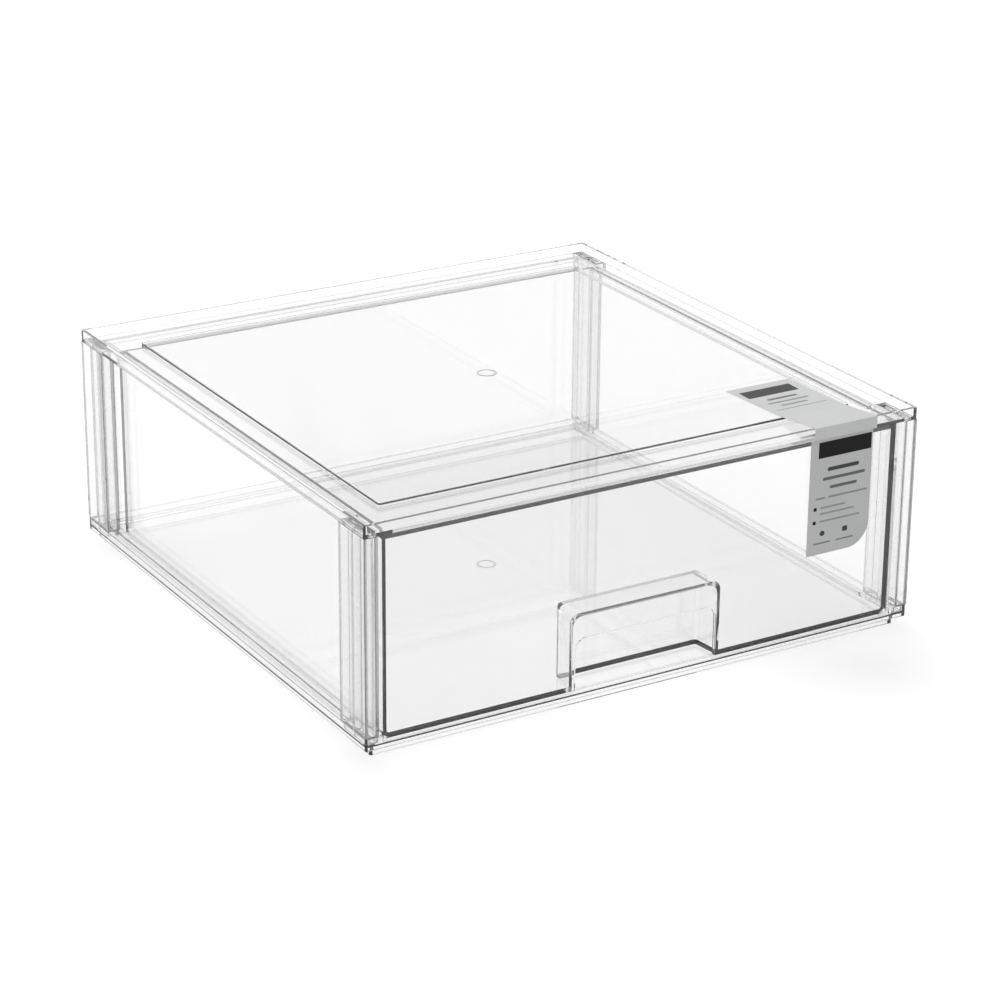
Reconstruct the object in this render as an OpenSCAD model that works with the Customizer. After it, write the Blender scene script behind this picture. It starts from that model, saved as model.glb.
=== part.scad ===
// Stackable drawer box: a clear moulded casing on four hollow corner posts with one pull-out drawer.
// Millimetres, +Z up, front towards -Y. Origin: middle of the footprint, on the surface it stands on.

/* [Casing] */
// width over the rims
case_w = 365; // [300:1:420]
// depth over the rims and the label on them
case_d = 365; // [320:1:420]
// height from the foot ring to the label on the top rim
case_h = 138; // [110:1:200]
// radius of the rims' upright outer corners
corner_r = 1.6; // [1:0.1:3]
// radius of the upright corners inside the rims
inner_r = 0.4; // [0.3:0.1:1]
// height of the top and base rims
rim_h = 7.2; // [5.5:0.1:9]
// thickness of the rims
rim_t = 2.2; // [1.6:0.1:3]
// outer diameter of the ring mark in the middle of each plate's underside
mark_d = 12; // [6:0.5:20]
// width of the ring mark
mark_w = 1.2; // [0.8:0.1:2]
// depth of the ring mark
mark_depth = 0.5; // [0.2:0.1:0.8]
// thickness of the top and base plates
plate_t = 1.5; // [1.3:0.1:2.6]
// depth of the base plate below the base rim's top edge
plate_drop = 4; // [2:0.1:5]

/* [Stacking] */
// depth of the foot ring below the base rim
foot_h = 5.8; // [4.5:0.1:8]
// distance from the outside of the casing to the foot ring
foot_inset = 5.5; // [4:0.1:8]
// thickness of the foot ring
foot_t = 2.4; // [2:0.1:4]
// height of the raised field on the top plate
field_h = 2.4; // [1:0.1:3]
// radius of the raised field's corners
field_r = 1.5; // [0.5:0.1:4]
// margin left and right of the raised field
field_side = 26; // [18:0.2:60]
// margin before and behind the raised field
field_front = 31.6; // [20:0.2:60]

/* [Posts and walls] */
// width of a corner post, seen from the front
post_w = 8.4; // [7:0.1:9]
// length of a corner post, seen from the side
post_l = 29.5; // [24:0.5:45]
// wall thickness of the hollow posts
post_t = 1.8; // [1.4:0.1:2.4]
// thickness of the side and back panels
panel_t = 2.5; // [2:0.1:3]
// distance from the casing's front to the side panels
panel_front = 6; // [3:0.1:8]
// distance from the casing's back to the back panel
back_inset = 8; // [6:0.5:20]
// thickness of the ribs that hold the panels upright
rib_t = 1.4; // [1:0.1:1.6]
// height of the ribs below the top plate
top_rib_h = 2.5; // [1:0.1:4]

/* [Drawer] */
// distance from the casing's outside to each side of the drawer
drawer_side = 12.9; // [12.8:0.1:18]
// distance the drawer's front sits behind the casing's front
drawer_recess = 3.4; // [2.6:0.1:6]
// gap between the drawer's back and the back panel
drawer_back = 20.8; // [2:0.1:90]
// wall and floor thickness of the drawer
drawer_t = 2.5; // [2:0.1:3]
// gap between the base plate and the drawer's underside
drawer_lift = 0.3; // [0.2:0.05:1]
// gap between the drawer's top edge and the top plate
drawer_gap = 0.5; // [0.3:0.1:3]
// radius inside the drawer between floor and sides
drawer_r = 1.5; // [1:0.5:8]
// radius outside the drawer between floor and sides, behind its square front
drawer_out_r = 4; // [1:0.5:7]
// depth of the stiffening flange behind the front's top edge
flange_d = 6; // [4:0.5:12]
// height of the flange
flange_h = 4.2; // [2:0.1:6]

/* [Finger pull] */
// outer width of the pull's pocket at the front
pull_w = 101.6; // [70:1:140]
// height of the pocket's roof above the drawer's underside
pull_h = 46.4; // [35:0.2:70]
// depth of the pocket behind the drawer's front
pull_d = 21; // [15:0.5:35]
// how much the pocket narrows on each side towards its back
pull_taper = 2; // [0:0.5:6]
// radius of the pocket's upright back corners
pull_r = 4; // [3:0.1:8]
// wall thickness of the pocket
pull_t = 2.2; // [1.8:0.1:3]
// height of the grip lip that hangs down before the pocket
lip_h = 15.2; // [8:0.2:20]
// width of the opening's edge that stands in front of each pocket wall
lip_side = 1.3; // [0.5:0.1:3]
// radius of the opening's upper corners
lip_r = 7.5; // [4:0.5:10]

/* [Label] */
// width of the label
label_w = 43.8; // [20:0.2:60]
// distance from the right side of the casing to the label
label_right = 29.4; // [20:0.2:80]
// how far the label reaches back over the top
label_top_l = 84; // [40:1:120]
// how far the label's back end has slipped to the left
label_skew = 3.5; // [0:0.5:6]
// how far the label hangs down the drawer's front
label_front_l = 72.6; // [30:0.2:100]
// radius of the label's rounded lower corner
label_r = 15; // [3:0.5:20]
// thickness of the label
label_t = 0.2; // [0.1:0.05:0.3]

/* [Hidden] */
$fn = 48;
clear = [0.86, 0.9, 0.93, 0.45];
label_grey = [0.7, 0.71, 0.71];
cut = 1;
// running clearance between parts that don't touch
play = 0.2;
// outside of the rims; the label lies before and on the front one
left_x = -case_w / 2;
front_y = -case_d / 2 + label_t;
back_y = case_d / 2;
body_d = back_y - front_y;
// levels, from the surface up
base_rim_top = foot_h + rim_h;
base_plate_top = base_rim_top - plate_drop;
rim_top = case_h - label_t;
top_rim_low = rim_top - rim_h;
top_plate_top = top_rim_low + plate_t;
field_top = top_plate_top + field_h;
// panels stand on the base plate behind the posts and carry the top plate
panel_h = top_rim_low - base_plate_top;
panel_x = left_x + post_w;
back_panel_y = back_y - back_inset - panel_t;
side_len = back_panel_y + panel_t - front_y - panel_front;
// post lugs reach into the base rim and through the top plate
lug_in = rim_t + play;
lug_top_in = 3.6;
post_h = top_rim_low - base_rim_top;
// the drawer slides on the base plate, between the ribs
drawer_w = case_w - 2 * drawer_side;
drawer_z = base_plate_top + drawer_lift;
drawer_h = top_rim_low - drawer_gap - drawer_z;
drawer_y = front_y + drawer_recess;
drawer_l = back_panel_y - drawer_back - drawer_y;
// label
label_x = case_w / 2 - label_right - label_w;
label_z = drawer_z + drawer_h;

// rectangle with round corners, its middle at the origin
module round_rect(w, d, r) {
    square([w - 2 * r, d], center = true);
    square([w, d - 2 * r], center = true);
    for (x = [-1, 1], y = [-1, 1])
        translate([x * (w / 2 - r), y * (d / 2 - r)]) circle(r);
}

// upright ring of rim stock, its outside a given inset inside the casing
module rim_ring(inset, thick, z, h) {
    translate([0, (front_y + back_y) / 2, z])
        linear_extrude(h) difference() {
            round_rect(case_w - 2 * inset, body_d - 2 * inset, corner_r);
            round_rect(case_w - 2 * (inset + thick), body_d - 2 * (inset + thick), inner_r);
        }
}

// flat plate that fills the casing inside the rim
module rim_plate(z) {
    translate([0, (front_y + back_y) / 2, z])
        linear_extrude(plate_t)
            round_rect(case_w - rim_t, body_d - rim_t, inner_r);
}

// U-shaped rib line inside the two side panels and the back panel
module panel_ribs(z, h) {
    rib_x = panel_x + panel_t + play;
    rib_y = front_y + post_l;
    rib_back = back_panel_y - play;
    for (s = [-1, 1])
        translate([s * (rib_x + rib_t / 2) - rib_t / 2, rib_y, z])
            cube([rib_t, rib_back - rib_y, h]);
    translate([rib_x, rib_back - rib_t, z])
        cube([-2 * rib_x, rib_t, h]);
}

// shallow ring that the mould leaves in the middle of a plate, cut up into its underside from z
module ring_mark(z) {
    translate([0, (front_y + back_y) / 2, z - cut]) difference() {
        cylinder(d = mark_d, h = mark_depth + cut);
        cylinder(d = mark_d - 2 * mark_w, h = mark_depth + cut);
    }
}

// slot for one post's upper lug, for the front left corner
module lug_slot() {
    translate([left_x + lug_top_in - play, front_y + lug_top_in - play, top_rim_low - cut])
        cube([post_w - lug_top_in + play, post_l - 2 * lug_top_in + 2 * play, plate_t + 2 * cut]);
}

module top_panel() {
    color(clear)
    difference() {
        union() {
            rim_ring(0, rim_t, top_rim_low, rim_h);
            rim_plate(top_rim_low);
            translate([0, (front_y + back_y) / 2, top_rim_low])
                linear_extrude(plate_t + field_h)
                    round_rect(case_w - 2 * field_side, body_d - 2 * field_front, field_r);
            panel_ribs(top_rim_low - top_rib_h, top_rib_h);
        }
        // the field is pressed up, so it is hollow from below
        translate([0, (front_y + back_y) / 2, top_rim_low - cut])
            linear_extrude(field_h + cut)
                round_rect(case_w - 2 * (field_side + plate_t), body_d - 2 * (field_front + plate_t), field_r);
        ring_mark(top_rim_low + field_h);
        lug_slot();
        mirror([1, 0, 0]) lug_slot();
        translate([0, front_y + back_y, 0]) mirror([0, 1, 0]) lug_slot();
        translate([0, front_y + back_y, 0]) mirror([0, 1, 0]) mirror([1, 0, 0]) lug_slot();
    }
}

// the base, with its front rim cut down to the plate between the side panels so that the drawer comes out
module base_panel() {
    mouth_x = panel_x + panel_t;
    color(clear) {
        difference() {
            rim_ring(0, rim_t, foot_h, rim_h);
            translate([mouth_x, front_y - cut, base_plate_top]) cube([-2 * mouth_x, rim_t + 2 * cut, rim_h]);
        }
        difference() {
            rim_plate(base_plate_top - plate_t);
            ring_mark(base_plate_top - plate_t);
        }
        rim_ring(foot_inset, foot_t, 0, base_plate_top - plate_t);
        panel_ribs(base_plate_top, plate_drop);
    }
}

// cross-section of a hollow post with one web, for the front left corner
module post_section(inset, thick) {
    w = post_w - inset;
    l = post_l - 2 * inset;
    cell = (l - 3 * thick) / 2;
    translate([inset, inset]) difference() {
        square([w, l]);
        for (y = [thick, 2 * thick + cell])
            translate([thick, y]) square([w - 2 * thick, cell]);
    }
}

// hollow corner post with a lug at each end, for the front left corner
module post() {
    translate([left_x, front_y, 0]) {
        translate([0, 0, base_rim_top])
            linear_extrude(post_h) post_section(0, post_t);
        translate([0, 0, base_plate_top])
            linear_extrude(base_rim_top - base_plate_top) post_section(lug_in, post_t / 2);
        translate([0, 0, top_rim_low])
            linear_extrude(plate_t) post_section(lug_top_in, post_t / 2);
    }
}

module post_front_left() {
    color(clear) post();
}

module post_front_right() {
    color(clear) mirror([1, 0, 0]) post();
}

module post_back_left() {
    color(clear) translate([0, front_y + back_y, 0]) mirror([0, 1, 0]) post();
}

module post_back_right() {
    color(clear) translate([0, front_y + back_y, 0]) mirror([0, 1, 0]) mirror([1, 0, 0]) post();
}

// upright side panel, for the left side
module side_panel() {
    translate([panel_x, front_y + panel_front, base_plate_top])
        cube([panel_t, side_len, panel_h]);
}

module side_panel_left() {
    color(clear) side_panel();
}

module side_panel_right() {
    color(clear) mirror([1, 0, 0]) side_panel();
}

module back_panel() {
    color(clear)
        translate([panel_x + panel_t, back_panel_y, base_plate_top])
            cube([-2 * (panel_x + panel_t), panel_t, panel_h]);
}

// arch standing in the XZ plane from z = 0 up, round at its upper corners, extruded towards +Y
module arch(w, h, r, depth) {
    rotate([90, 0, 0]) translate([0, 0, -depth]) linear_extrude(depth) {
        translate([-w / 2, 0]) square([w, h - r]);
        translate([-w / 2 + r, 0]) square([w - 2 * r, h]);
        for (s = [-1, 1]) translate([s * (w / 2 - r), h - r]) circle(r);
    }
}

// plan of the pull's pocket: it narrows towards the back and has round back corners
module pocket_plan(w, depth, taper, r) {
    lean = taper / depth;
    slant = sqrt(1 + lean * lean);
    round_x = w / 2 - lean * (depth - r) - slant * r;
    side_x = round_x + r / slant;
    side_y = depth - r + lean * r / slant;
    polygon([[-w / 2, 0], [w / 2, 0], [side_x, side_y], [round_x, depth], [-round_x, depth], [-side_x, side_y]]);
    for (s = [-1, 1]) translate([s * round_x, depth - r]) circle(r);
}

// one skin of the pull's pocket, outer or inner
module pocket(w, h, top_r, depth, back_r) {
    intersection() {
        arch(w, h, top_r, depth);
        linear_extrude(h) pocket_plan(w, depth, pull_taper, back_r);
    }
}

// space inside the drawer, round along the two long floor edges
module drawer_inside() {
    w = drawer_w - 2 * drawer_t;
    l = drawer_l - 2 * drawer_t;
    translate([0, drawer_t + l, drawer_t]) rotate([90, 0, 0]) linear_extrude(l) {
        translate([-w / 2, drawer_r]) square([w, drawer_h]);
        translate([-w / 2 + drawer_r, 0]) square([w - 2 * drawer_r, drawer_h]);
        for (s = [-1, 1]) translate([s * (w / 2 - drawer_r), drawer_r]) circle(drawer_r);
    }
}

// outside of the drawer, square at its front and round along the two long floor edges behind it
module drawer_outside() {
    translate([-drawer_w / 2, 0, 0]) cube([drawer_w, drawer_t, drawer_h]);
    translate([0, drawer_l, 0]) rotate([90, 0, 0]) linear_extrude(drawer_l - drawer_t) {
        translate([-drawer_w / 2, drawer_out_r]) square([drawer_w, drawer_h - drawer_out_r]);
        translate([-drawer_w / 2 + drawer_out_r, 0]) square([drawer_w - 2 * drawer_out_r, drawer_h]);
        for (s = [-1, 1]) translate([s * (drawer_w / 2 - drawer_out_r), drawer_out_r]) circle(drawer_out_r);
    }
}

module drawer() {
    inner_w = pull_w - 2 * pull_t;
    inner_h = pull_h - pull_t;
    color(clear)
    translate([0, drawer_y, drawer_z]) difference() {
        union() {
            difference() {
                drawer_outside();
                drawer_inside();
            }
            translate([-drawer_w / 2, 0, drawer_h - flange_h]) cube([drawer_w, flange_d, flange_h]);
            pocket(pull_w, pull_h, lip_r - lip_side, pull_d, pull_r);
        }
        translate([0, drawer_t, -cut])
            pocket(inner_w, inner_h + cut, lip_r - lip_side, pull_d - drawer_t - pull_t, pull_r - pull_t);
        translate([0, -cut, -cut])
            arch(inner_w - 2 * lip_side, pull_h - lip_h + cut, lip_r, drawer_t + 2 * cut);
    }
}

module label_top() {
    reach = front_y + label_top_l;
    edge = front_y + field_front;
    color(label_grey) {
        translate([label_x, 0, field_top]) linear_extrude(label_t)
            polygon([[0, edge], [label_w, edge], [label_w - label_skew, reach], [-label_skew, reach]]);
        translate([label_x, 0, 0]) rotate([90, 0, 90]) linear_extrude(label_w) polygon([
            [edge + label_t, field_top], [edge, field_top], [front_y + rim_t, rim_top], [front_y, rim_top],
            [front_y, top_rim_low], [front_y - label_t, top_rim_low], [front_y - label_t, case_h],
            [front_y + rim_t, case_h], [edge, field_top + label_t], [edge + label_t, field_top + label_t]]);
    }
}

module label_front() {
    color(label_grey)
    translate([label_x, drawer_y, label_z]) rotate([90, 0, 0]) linear_extrude(label_t) {
        translate([0, -label_front_l]) square([label_w - label_r, label_front_l]);
        translate([0, label_r - label_front_l]) square([label_w, label_front_l - label_r]);
        translate([label_w - label_r, label_r - label_front_l]) circle(label_r);
    }
}

top_panel();
base_panel();
post_front_left();
post_front_right();
post_back_left();
post_back_right();
side_panel_left();
side_panel_right();
back_panel();
drawer();
label_top();
label_front();
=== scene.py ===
import math
import bpy
import bmesh
from mathutils import Matrix, Vector


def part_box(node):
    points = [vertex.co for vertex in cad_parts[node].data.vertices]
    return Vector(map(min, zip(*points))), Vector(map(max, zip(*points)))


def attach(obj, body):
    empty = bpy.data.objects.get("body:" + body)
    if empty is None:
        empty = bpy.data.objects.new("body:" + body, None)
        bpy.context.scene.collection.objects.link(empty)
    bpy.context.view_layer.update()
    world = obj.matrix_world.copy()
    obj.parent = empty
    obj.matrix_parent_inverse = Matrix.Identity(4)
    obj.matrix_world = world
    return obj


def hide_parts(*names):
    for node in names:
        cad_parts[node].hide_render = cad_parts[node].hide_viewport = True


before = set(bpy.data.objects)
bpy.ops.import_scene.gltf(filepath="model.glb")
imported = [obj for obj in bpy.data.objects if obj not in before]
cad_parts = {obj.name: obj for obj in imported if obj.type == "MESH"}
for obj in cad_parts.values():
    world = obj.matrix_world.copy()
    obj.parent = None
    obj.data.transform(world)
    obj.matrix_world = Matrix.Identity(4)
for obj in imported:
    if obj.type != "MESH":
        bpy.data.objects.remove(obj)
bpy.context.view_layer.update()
mm = 0.001
print("frame loaded")


# camera: a lens of about 115 mm, a little above the box and to its left
cameraSpec = {
    "lens": 114.99,                          # mm
    "sensor": 36.0,                          # mm
    "place": (-0.91764, -1.54555, 0.78023),  # m
    "turn": 30.973,                          # degrees right of straight ahead
    "tilt": 22.047,                          # degrees down
    "roll": 0.489,                           # degrees
    "near": 0.05,                            # m
    "far": 60.0,                             # m
}


def makeCamera(spec):
    data = bpy.data.cameras.new("camera")
    data.lens = spec["lens"]
    data.sensor_width = spec["sensor"]
    data.clip_start = spec["near"]
    data.clip_end = spec["far"]
    camera = bpy.data.objects.new("camera", data)
    bpy.context.scene.collection.objects.link(camera)
    turn = Matrix.Rotation(-math.radians(spec["turn"]), 4, "Z")
    tilt = Matrix.Rotation(math.radians(90 - spec["tilt"]), 4, "X")
    roll = Matrix.Rotation(math.radians(spec["roll"]), 4, "Z")
    camera.matrix_world = Matrix.Translation(spec["place"]) @ turn @ tilt @ roll
    bpy.context.scene.camera = camera


# small helpers for node trees; a source is a socket or a plain value
def wire(tree, source, target):
    if isinstance(source, bpy.types.NodeSocket):
        tree.links.new(source, target)
    else:
        target.default_value = source


def reckon(tree, operation, a, b=0.0):
    node = tree.nodes.new("ShaderNodeMath")
    node.operation = operation
    wire(tree, a, node.inputs[0])
    wire(tree, b, node.inputs[1])
    return node.outputs[0]


def remap(tree, value, low, high, toLow, toHigh):
    node = tree.nodes.new("ShaderNodeMapRange")
    node.interpolation_type = "SMOOTHSTEP"
    for name, source in (("Value", value), ("From Min", low), ("From Max", high),
                         ("To Min", toLow), ("To Max", toHigh)):
        wire(tree, source, node.inputs[name])
    return node.outputs["Result"]


def blendColours(tree, share, first, second):
    node = tree.nodes.new("ShaderNodeMix")
    node.data_type = "RGBA"
    colourInputs = [socket for socket in node.inputs if socket.type == "RGBA"]
    wire(tree, share, node.inputs["Factor"])
    wire(tree, first, colourInputs[0])
    wire(tree, second, colourInputs[1])
    return next(socket for socket in node.outputs if socket.type == "RGBA")


# 1 for rays that should see the white studio: straight, mirrored or through clear plastic
def seesStudio(tree):
    paths = tree.nodes.new("ShaderNodeLightPath")
    either = reckon(tree, "MAXIMUM", paths.outputs["Is Camera Ray"], paths.outputs["Is Glossy Ray"])
    return reckon(tree, "MAXIMUM", either, paths.outputs["Is Transmission Ray"])


# studio: white all round, a dimmer ceiling, a floor that keeps the shadow and one soft lamp overhead
studioSpec = {
    "floorSize": 12.0,      # m
    "floorColour": 0.82,
    "floorRough": 0.9,
    "floorGlow": 0.32,      # lifts the lit floor to white and leaves the shadow
    "wall": 1.0,            # strength of the white all round
    "ceiling": 0.45,        # strength straight above
    "ceilingFrom": 0.62,    # sine of the height angle where the ceiling begins
    "ceilingTo": 0.82,
    "room": 0.85,           # light that the room gives to matt surfaces
    "lampPower": 16.0,      # W
    "lampSize": 1.2,        # m
    "lampPlace": (0.2, 0.9, 1.9),
    "lampAim": (0.0, 0.0, 0.07),
}


def makeWorld(spec):
    world = bpy.data.worlds.new("studio")
    bpy.context.scene.world = world
    world.use_nodes = True
    tree = world.node_tree
    tree.nodes.clear()
    place = tree.nodes.new("ShaderNodeTexCoord")
    split = tree.nodes.new("ShaderNodeSeparateXYZ")
    wire(tree, place.outputs["Generated"], split.inputs[0])
    bright = remap(tree, split.outputs["Z"], spec["ceilingFrom"], spec["ceilingTo"],
                   spec["wall"], spec["ceiling"])
    pick = tree.nodes.new("ShaderNodeMix")
    wire(tree, seesStudio(tree), pick.inputs["Factor"])
    wire(tree, spec["room"], pick.inputs["A"])
    wire(tree, bright, pick.inputs["B"])
    light = tree.nodes.new("ShaderNodeBackground")
    wire(tree, pick.outputs["Result"], light.inputs["Strength"])
    out = tree.nodes.new("ShaderNodeOutputWorld")
    wire(tree, light.outputs[0], out.inputs["Surface"])


def makeFloor(spec):
    mesh = bpy.data.meshes.new("floor")
    bm = bmesh.new()
    bmesh.ops.create_grid(bm, x_segments=1, y_segments=1, size=spec["floorSize"] / 2)
    bm.to_mesh(mesh)
    bm.free()
    floor = bpy.data.objects.new("floor", mesh)
    bpy.context.scene.collection.objects.link(floor)
    material = bpy.data.materials.new("studio_floor")
    material.use_nodes = True
    tree = material.node_tree
    shader = tree.nodes["Principled BSDF"]
    tone = spec["floorColour"]
    wire(tree, (tone, tone, tone, 1), shader.inputs["Base Color"])
    wire(tree, spec["floorRough"], shader.inputs["Roughness"])
    wire(tree, 0.0, shader.inputs["Specular IOR Level"])
    wire(tree, (1, 1, 1, 1), shader.inputs["Emission Color"])
    wire(tree, reckon(tree, "MULTIPLY", seesStudio(tree), spec["floorGlow"]),
         shader.inputs["Emission Strength"])
    mesh.materials.append(material)


def makeLamp(spec):
    data = bpy.data.lights.new("overhead", "AREA")
    data.energy = spec["lampPower"]
    data.size = spec["lampSize"]
    lamp = bpy.data.objects.new("overhead", data)
    bpy.context.scene.collection.objects.link(lamp)
    lamp.location = spec["lampPlace"]
    aim = Vector(spec["lampAim"]) - lamp.location
    lamp.rotation_euler = aim.to_track_quat("-Z", "Y").to_euler()


# how far a ray may go on: light that enters a wall at its end is mirrored along its whole length
bounceSpec = {"through": 90, "mirrored": 80}


def setBounces(spec):
    cycles = bpy.context.scene.cycles
    cycles.max_bounces = spec["through"]
    cycles.transmission_bounces = spec["through"]
    cycles.transparent_max_bounces = spec["through"]
    cycles.glossy_bounces = spec["mirrored"]


makeCamera(cameraSpec)
makeWorld(studioSpec)
makeFloor(studioSpec)
makeLamp(studioSpec)
setBounces(bounceSpec)
bpy.context.scene.view_settings.view_transform = "Standard"
print("studio and camera made")


def newGroup(name, inputs, outputs):
    group = bpy.data.node_groups.new(name, "ShaderNodeTree")
    for label, kind, value in inputs:
        socket = group.interface.new_socket(name=label, in_out="INPUT", socket_type="NodeSocket" + kind)
        if value is not None:
            socket.default_value = value
    for label, kind in outputs:
        group.interface.new_socket(name=label, in_out="OUTPUT", socket_type="NodeSocket" + kind)
    return group, group.nodes.new("NodeGroupInput"), group.nodes.new("NodeGroupOutput")


def useGroup(tree, group, values):
    node = tree.nodes.new("ShaderNodeGroup")
    node.node_tree = group
    for name, source in values.items():
        wire(tree, source, node.inputs[name])
    return node.outputs


def noise(tree, place, scale, detail):
    node = tree.nodes.new("ShaderNodeTexNoise")
    wire(tree, place, node.inputs["Vector"])
    wire(tree, scale, node.inputs["Scale"])
    wire(tree, detail, node.inputs["Detail"])
    return node.outputs["Fac"]


# faint swell that the melt leaves in a moulded sheet
def flowGroup():
    group, enter, leave = newGroup("mould flow", (
        ("Place", "Vector", None), ("Scale", "Float", 20.0), ("Stretch", "Float", 0.3)),
        (("Height", "Float"),))
    stretch = group.nodes.new("ShaderNodeVectorMath")
    stretch.operation = "MULTIPLY"
    shape = group.nodes.new("ShaderNodeCombineXYZ")
    wire(group, 1.0, shape.inputs["X"])
    wire(group, enter.outputs["Stretch"], shape.inputs["Y"])
    wire(group, 1.0, shape.inputs["Z"])
    wire(group, enter.outputs["Place"], stretch.inputs[0])
    wire(group, shape.outputs[0], stretch.inputs[1])
    swell = noise(group, stretch.outputs[0], enter.outputs["Scale"], detail=1.0)
    wire(group, swell, leave.inputs["Height"])
    return group


# patches left by hands and dust: they grow between two levels of a broad noise and hold a finer grain
def handlingGroup():
    group, enter, leave = newGroup("handling", (
        ("Place", "Vector", None), ("Scale", "Float", 14.0), ("Grain", "Float", 22.0),
        ("From", "Float", 0.55), ("To", "Float", 0.8)), (("Mask", "Float"),))
    fineScale = reckon(group, "MULTIPLY", enter.outputs["Scale"], enter.outputs["Grain"])
    large = noise(group, enter.outputs["Place"], enter.outputs["Scale"], detail=2.0)
    fine = noise(group, enter.outputs["Place"], fineScale, detail=3.0)
    patch = remap(group, large, enter.outputs["From"], enter.outputs["To"], 0.0, 1.0)
    wire(group, reckon(group, "MULTIPLY", patch, fine), leave.inputs["Mask"])
    return group


# mark with rounded corners and an edge that fades over Soft to both sides, all in mm
def markGroup():
    group, enter, leave = newGroup("printed mark", (
        ("Across", "Float", 0.0), ("Up", "Float", 0.0), ("Middle Across", "Float", 0.0),
        ("Middle Up", "Float", 0.0), ("Width", "Float", 10.0), ("Height", "Float", 2.0),
        ("Corner", "Float", 0.3), ("Soft", "Float", 0.1)), (("Mask", "Float"),))
    corner = enter.outputs["Corner"]
    soft = enter.outputs["Soft"]
    off = []
    for at, middle, size in (("Across", "Middle Across", "Width"), ("Up", "Middle Up", "Height")):
        fromMiddle = reckon(group, "SUBTRACT", enter.outputs[at], enter.outputs[middle])
        away = reckon(group, "ABSOLUTE", fromMiddle)
        half = reckon(group, "MULTIPLY", enter.outputs[size], 0.5)
        over = reckon(group, "SUBTRACT", away, reckon(group, "SUBTRACT", half, corner))
        off.append(reckon(group, "POWER", reckon(group, "MAXIMUM", over, 0.0), 2.0))
    far = reckon(group, "SQRT", reckon(group, "ADD", off[0], off[1]))
    edge = reckon(group, "SUBTRACT", far, corner)
    mask = remap(group, edge, reckon(group, "MULTIPLY", soft, -1.0), soft, 1.0, 0.0)
    wire(group, mask, leave.inputs["Mask"])
    return group


# fibres of the label's stock, and the broad clouds of its coating
def stockGroup():
    group, enter, leave = newGroup("label stock", (
        ("Place", "Vector", None), ("Fibres", "Float", 900.0), ("Clouds", "Float", 27.0),
        ("From", "Float", 0.3), ("To", "Float", 0.7)), (("Tone", "Float"), ("Height", "Float")))
    fine = noise(group, enter.outputs["Place"], enter.outputs["Fibres"], detail=3.0)
    broad = noise(group, enter.outputs["Place"], enter.outputs["Clouds"], detail=2.0)
    both = reckon(group, "MULTIPLY", reckon(group, "ADD", fine, broad), 0.5)
    tone = remap(group, both, enter.outputs["From"], enter.outputs["To"], 0.0, 1.0)
    wire(group, tone, leave.inputs["Tone"])
    wire(group, fine, leave.inputs["Height"])
    return group


# slow clouds between the resin's two tints
def tintGroup():
    group, enter, leave = newGroup("resin tint", (
        ("Place", "Vector", None), ("Scale", "Float", 9.0), ("From", "Float", 0.35),
        ("To", "Float", 0.65), ("High", "Color", (1, 1, 1, 1)), ("Low", "Color", (1, 1, 1, 1))),
        (("Color", "Color"),))
    clouds = noise(group, enter.outputs["Place"], enter.outputs["Scale"], detail=2.0)
    share = remap(group, clouds, enter.outputs["From"], enter.outputs["To"], 0.0, 1.0)
    colour = blendColours(group, share, enter.outputs["High"], enter.outputs["Low"])
    wire(group, colour, leave.inputs["Color"])
    return group


flow = flowGroup()
handling = handlingGroup()
mark = markGroup()
stock = stockGroup()
tint = tintGroup()
print("finishes made")


# clear polished plastic
casingSpec = {
    "tint": (1.0, 1.0, 1.0, 1),
    "tintLow": (0.996, 0.996, 0.996, 1),
    "ior": 1.57,
    "absorb": (0.5, 0.5, 0.5, 1),
    "density": 1.0,         # per m
    "shadow": 0.987,        # share of the lamps' light that one face lets through
    "polish": 0.0,
    "smudge": 0.04,
    "swell": 0.0015,        # mm
    # dark colour of the painted edge shade
    "paintedEdgeShade": (0.004, 0.004, 0.004, 1),
}
# the moulded pieces are denser than the flat panels, which darkens the light that runs along their walls
postSpec = dict(casingSpec, density=60.0)
topSpec = dict(casingSpec, density=15.0)
baseSpec = dict(casingSpec, density=16.0)
drawerSpec = dict(casingSpec, density=18.0, swell=0.002)


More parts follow.
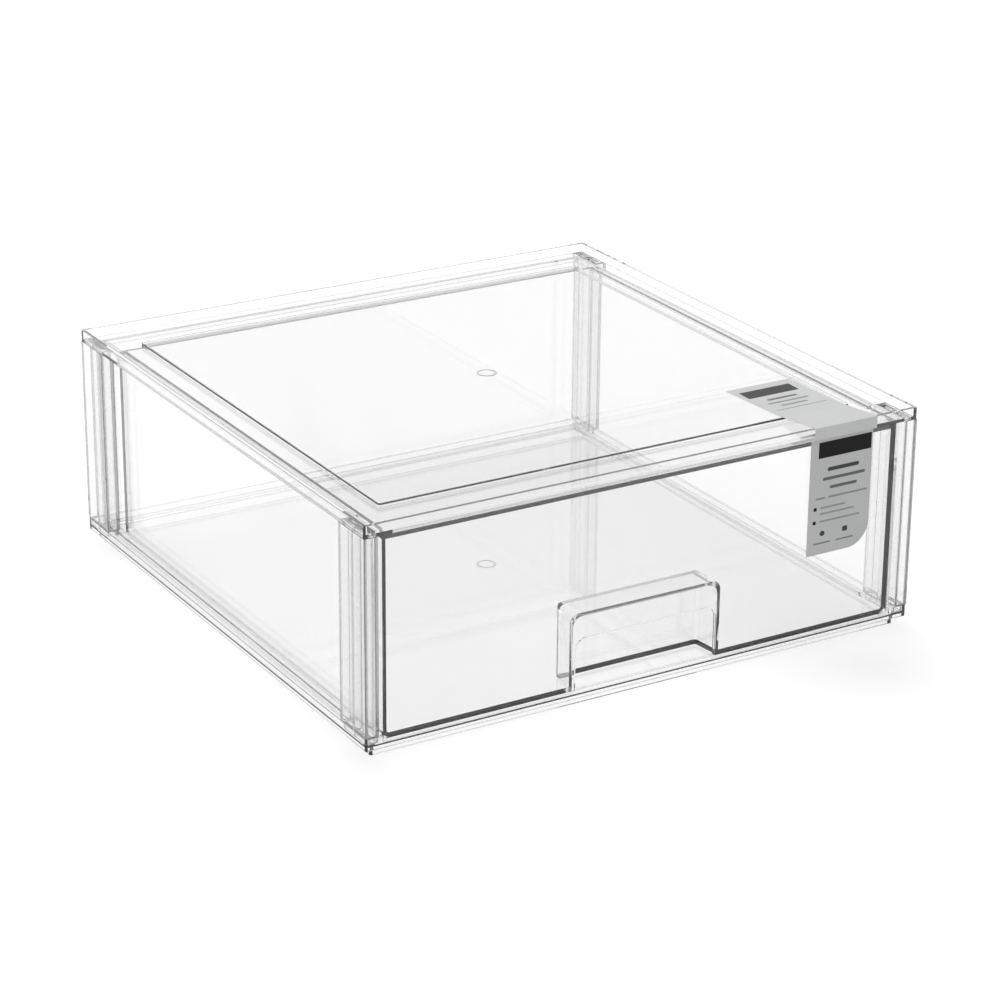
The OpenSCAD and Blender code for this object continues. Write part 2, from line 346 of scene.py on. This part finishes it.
def clearPlastic(name, spec):
    material = bpy.data.materials.new(name)
    material.use_nodes = True
    tree = material.node_tree
    shader = tree.nodes["Principled BSDF"]
    out = tree.nodes["Material Output"]
    place = tree.nodes.new("ShaderNodeTexCoord").outputs["Object"]
    resin = useGroup(tree, tint, {"Place": place, "High": spec["tint"], "Low": spec["tintLow"]})
    # painted shade: faces marked in the edge attribute get a dark colour, which stands in for the light
    # that round edges and thin ends bend away
    edge = tree.nodes.new("ShaderNodeAttribute")
    edge.attribute_name = "edge"
    shaded = blendColours(tree, edge.outputs["Fac"], resin["Color"], spec["paintedEdgeShade"])
    wire(tree, shaded, shader.inputs["Base Color"])
    touched = useGroup(tree, handling, {"Place": place})["Mask"]
    rough = remap(tree, touched, 0.0, 1.0, spec["polish"], spec["polish"] + spec["smudge"])
    wire(tree, rough, shader.inputs["Roughness"])
    wire(tree, spec["ior"], shader.inputs["IOR"])
    wire(tree, 1.0, shader.inputs["Transmission Weight"])
    bump = tree.nodes.new("ShaderNodeBump")
    wire(tree, spec["swell"] * mm, bump.inputs["Distance"])
    wire(tree, useGroup(tree, flow, {"Place": place})["Height"], bump.inputs["Height"])
    wire(tree, bump.outputs["Normal"], shader.inputs["Normal"])
    # lamps shine through, so that the shadow stays as faint as a clear box's
    through = tree.nodes.new("ShaderNodeBsdfTransparent")
    tone = spec["shadow"]
    wire(tree, (tone, tone, tone, 1), through.inputs["Color"])
    paths = tree.nodes.new("ShaderNodeLightPath")
    either = reckon(tree, "MAXIMUM", paths.outputs["Is Shadow Ray"], paths.outputs["Is Diffuse Ray"])
    mix = tree.nodes.new("ShaderNodeMixShader")
    wire(tree, either, mix.inputs["Fac"])
    wire(tree, shader.outputs[0], mix.inputs[1])
    wire(tree, through.outputs[0], mix.inputs[2])
    wire(tree, mix.outputs[0], out.inputs["Surface"])
    fill = tree.nodes.new("ShaderNodeVolumeAbsorption")
    wire(tree, spec["absorb"], fill.inputs["Color"])
    wire(tree, spec["density"], fill.inputs["Density"])
    wire(tree, fill.outputs[0], out.inputs["Volume"])
    return material


# silver-grey label stock with a plain dark block, plain bars and dots, as measured from its left edge
labelSpec = {
    "stock": (0.60, 0.605, 0.61, 1),
    "stockLow": (0.56, 0.565, 0.57, 1),
    "ink": (0.008, 0.008, 0.009, 1),
    "rough": 0.42,
    "inkRough": 0.36,
    "gloss": 0.12,
    "grain": 0.01,          # mm
}
# the top label's stock is painted lighter than the front's: a painted sheen for the light that the
# flat-lying top catches
topLabelPaintedSheenSpec = dict(labelSpec, stock=(0.65, 0.655, 0.66, 1), stockLow=(0.61, 0.615, 0.62, 1), gloss=0.2)
# in mm: middle across, middle up (for the top, middle back), width, height, corner; strength of the ink
frontMarks = (
    (24.3, 122.3, 37.4, 9.9, 0.2, 1.0),
    (23.6, 109.8, 22.2, 2.4, 0.8, 0.9),
    (24.3, 104.1, 30.0, 1.9, 0.8, 0.75),
    (24.2, 98.5, 19.4, 1.9, 0.8, 0.75),
    (8.2, 92.5, 6.8, 1.2, 0.4, 0.5),
    (27.6, 92.5, 27.6, 1.2, 0.4, 0.5),
    (4.9, 86.2, 2.2, 2.2, 0.3, 1.0),
    (17.4, 86.4, 18.0, 1.1, 0.4, 0.45),
    (20.6, 82.7, 24.4, 1.1, 0.4, 0.45),
    (4.6, 77.8, 2.2, 2.2, 0.3, 1.0),
    (22.6, 78.0, 28.6, 1.1, 0.4, 0.45),
    (10.6, 70.4, 3.6, 3.2, 1.6, 0.9),
    (26.8, 70.4, 3.6, 3.2, 0.6, 0.9),
    (10.6, 64.4, 12.0, 1.0, 0.4, 0.6),
    (26.8, 64.4, 12.6, 1.0, 0.4, 0.6),
)
topMarks = (
    (18.4, -110.7, 35.6, 11.0, 0.2, 0.95),
    (19.2, -122.9, 21.0, 2.6, 0.8, 0.7),
    (19.6, -128.6, 28.6, 2.0, 0.8, 0.55),
    (20.0, -134.2, 18.6, 2.0, 0.8, 0.55),
    (21.4, -139.8, 35.0, 1.3, 0.4, 0.4),
)


# upAxis is the object axis along the label's length
def labelPaper(name, spec, marks, upAxis):
    material = bpy.data.materials.new(name)
    material.use_nodes = True
    tree = material.node_tree
    shader = tree.nodes["Principled BSDF"]
    place = tree.nodes.new("ShaderNodeTexCoord").outputs["Object"]
    split = tree.nodes.new("ShaderNodeSeparateXYZ")
    wire(tree, place, split.inputs[0])
    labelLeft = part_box("label_front")[0][0]
    across = reckon(tree, "DIVIDE", reckon(tree, "SUBTRACT", split.outputs["X"], labelLeft), mm)
    up = reckon(tree, "DIVIDE", split.outputs[upAxis], mm)
    ink = 0.0
    for middleAcross, middleUp, width, height, corner, strength in marks:
        spot = useGroup(tree, mark, {
            "Across": across, "Up": up, "Middle Across": middleAcross, "Middle Up": middleUp,
            "Width": width, "Height": height, "Corner": corner})
        ink = reckon(tree, "MAXIMUM", ink, reckon(tree, "MULTIPLY", spot["Mask"], strength))
    fibres = useGroup(tree, stock, {"Place": place})
    bare = blendColours(tree, fibres["Tone"], spec["stockLow"], spec["stock"])
    wire(tree, blendColours(tree, ink, bare, spec["ink"]), shader.inputs["Base Color"])
    wire(tree, remap(tree, ink, 0.0, 1.0, spec["rough"], spec["inkRough"]), shader.inputs["Roughness"])
    wire(tree, spec["gloss"], shader.inputs["Specular IOR Level"])
    bump = tree.nodes.new("ShaderNodeBump")
    wire(tree, spec["grain"] * mm, bump.inputs["Distance"])
    wire(tree, fibres["Height"], bump.inputs["Height"])
    wire(tree, bump.outputs["Normal"], shader.inputs["Normal"])
    return material


# clear pieces get fine round edges with painted shade on them, and a hair of air between pieces that
# touch
edgeSpec = {
    "round": 0.25,          # mm
    "steps": 2,
    "sharp": 40.0,          # degrees; flatter edges belong to round surfaces
    "flat": 1.0,            # degrees; edges flatter than this lie within one face
    "weld": 0.002,          # mm, joins the corners of the loose triangles
    "air": 0.04,            # mm, taken off each side
    "shade": 0.9,           # how dark the painted shade on the round edges is, from 0 to 1
}
# the painted edge shade is lighter on the top plate and the flat sheets, and darker on the posts and the
# drawer
topEdgeSpec = dict(edgeSpec, shade=0.6)
sheetEdgeSpec = dict(edgeSpec, shade=0.2)
postEdgeSpec = dict(edgeSpec, round=0.4, shade=0.95)
drawerEdgeSpec = dict(edgeSpec, round=0.35, shade=0.95)


def softCopy(node, spec, material, body):
    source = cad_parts[node]
    bm = bmesh.new()
    bm.from_mesh(source.data)
    bm.transform(source.matrix_world)
    bmesh.ops.remove_doubles(bm, verts=bm.verts, dist=spec["weld"] * mm)
    bmesh.ops.dissolve_limit(bm, angle_limit=math.radians(spec["flat"]), verts=bm.verts, edges=bm.edges)
    # this layer holds each face's share of painted shade
    edge = bm.faces.layers.float.new("edge")
    least = math.radians(spec["sharp"])
    sharp = [side for side in bm.edges if side.is_manifold and side.calc_face_angle() > least]
    made = bmesh.ops.bevel(bm, geom=sharp, offset=spec["round"] * mm, offset_type="OFFSET",
                           segments=spec["steps"], profile=0.5, affect="EDGES", material=-1,
                           clamp_overlap=True)
    # the round edges get the painted edge shade, and they shade smooth by themselves, so that the long
    # flat and curved faces beside them stay true
    rounded = set(made["faces"])
    for face in rounded:
        face[edge] = spec["shade"]
        for side in face.edges:
            side.smooth = all(other in rounded for other in side.link_faces)
    low, high = [Vector(corner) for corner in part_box(node)]
    middle = (low + high) / 2
    shrink = Vector([1 - 2 * spec["air"] * mm / length for length in high - low])
    bmesh.ops.scale(bm, vec=shrink, space=Matrix.Translation(-middle), verts=bm.verts)
    mesh = bpy.data.meshes.new("soft_" + node)
    bm.to_mesh(mesh)
    bm.free()
    piece = bpy.data.objects.new("soft_" + node, mesh)
    bpy.context.scene.collection.objects.link(piece)
    mesh.materials.append(material)
    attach(piece, body)
    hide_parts(node)
    return piece


# painted shade on the back face of the flange along the drawer's front top edge: a dark strip that shows
# through the front, standing in for the light trapped in the flange
flangeSpec = {"tall": 4.3, "deep": 8.0, "shade": 1.0}   # mm, mm, 0 to 1
lookingBack = 0.9           # least backward part of the normal of a face that looks back


def shadeFlange(piece, spec):
    low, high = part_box("drawer")
    edge = piece.data.attributes["edge"]
    for face in piece.data.polygons:
        nearTop = face.center.z > high[2] - spec["tall"] * mm
        nearFront = face.center.y < low[1] + spec["deep"] * mm
        if nearTop and nearFront and face.normal.y > lookingBack:
            edge.data[face.index].value = spec["shade"]


# the pull's roof is seen end-on through the front; painted shade darkens the end of it in the pocket's
# back, standing in for the light guided along the roof
roofSpec = {
    "wide": 104.0,          # mm
    "from": 15.0,           # mm behind the drawer's front
    "to": 24.0,
    "under": 43.9,          # mm above the drawer's underside
    "over": 47.1,
    "cut": 0.01,            # mm, how near a corner has to be to be cut through
    "shade": 0.95,          # 0 to 1
}


def shadeRoof(piece, spec):
    low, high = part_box("drawer")

    def isPocketBack(face, tallFrom):
        at = face.calc_center_median()
        deep = (at.y - low[1]) / mm
        tall = (at.z - low[2]) / mm
        return (face.normal.y > lookingBack and abs(at.x) < spec["wide"] / 2 * mm
                and spec["from"] < deep < spec["to"] and tallFrom < tall < spec["over"])

    bm = bmesh.new()
    bm.from_mesh(piece.data)
    edge = bm.faces.layers.float["edge"]
    back = [face for face in bm.faces if isPocketBack(face, 0)]
    parts = set(back)
    for face in back:
        parts.update(face.edges)
        parts.update(face.verts)
    bmesh.ops.bisect_plane(bm, geom=list(parts), dist=spec["cut"] * mm, plane_no=(0, 0, 1),
                           plane_co=(0, 0, low[2] + spec["under"] * mm))
    for face in bm.faces:
        if isPocketBack(face, spec["under"]):
            face[edge] = spec["shade"]
    bm.to_mesh(piece.data)
    bm.free()


# painted shade in the shallow ring mark in the middle of a plate
markSpec = {"reach": 7.0, "largest": 60.0, "shade": 0.5}   # mm, mm2, 0 to 1


def shadeMark(piece, spec):
    edge = piece.data.attributes["edge"]
    for face in piece.data.polygons:
        near = math.hypot(face.center.x, face.center.y) < spec["reach"] * mm
        if near and face.area < spec["largest"] * mm * mm:
            edge.data[face.index].value = spec["shade"]


def dress(node, material):
    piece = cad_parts[node]
    piece.data.materials.clear()
    piece.data.materials.append(material)


panelClear = clearPlastic("clear_plastic", casingSpec)
postClear = clearPlastic("post_plastic", postSpec)
topClear = clearPlastic("top_plastic", topSpec)
baseClear = clearPlastic("base_plastic", baseSpec)
drawerClear = clearPlastic("drawer_plastic", drawerSpec)

for node, edges, material in (("top_panel", topEdgeSpec, topClear), ("base_panel", edgeSpec, baseClear)):
    shadeMark(softCopy(node, edges, material, "casing"), markSpec)
for node in ("post_front_left", "post_front_right", "post_back_left", "post_back_right"):
    softCopy(node, postEdgeSpec, postClear, "casing")
for node in ("side_panel_left", "side_panel_right", "back_panel"):
    softCopy(node, sheetEdgeSpec, panelClear, "casing")
drawer = softCopy("drawer", drawerEdgeSpec, drawerClear, "drawer_body")
shadeFlange(drawer, flangeSpec)
shadeRoof(drawer, roofSpec)
print("clear pieces made")

dress("label_front", labelPaper("label_front", labelSpec, frontMarks, "Z"))
dress("label_top", labelPaper("label_top", topLabelPaintedSheenSpec, topMarks, "Y"))
print("label printed")
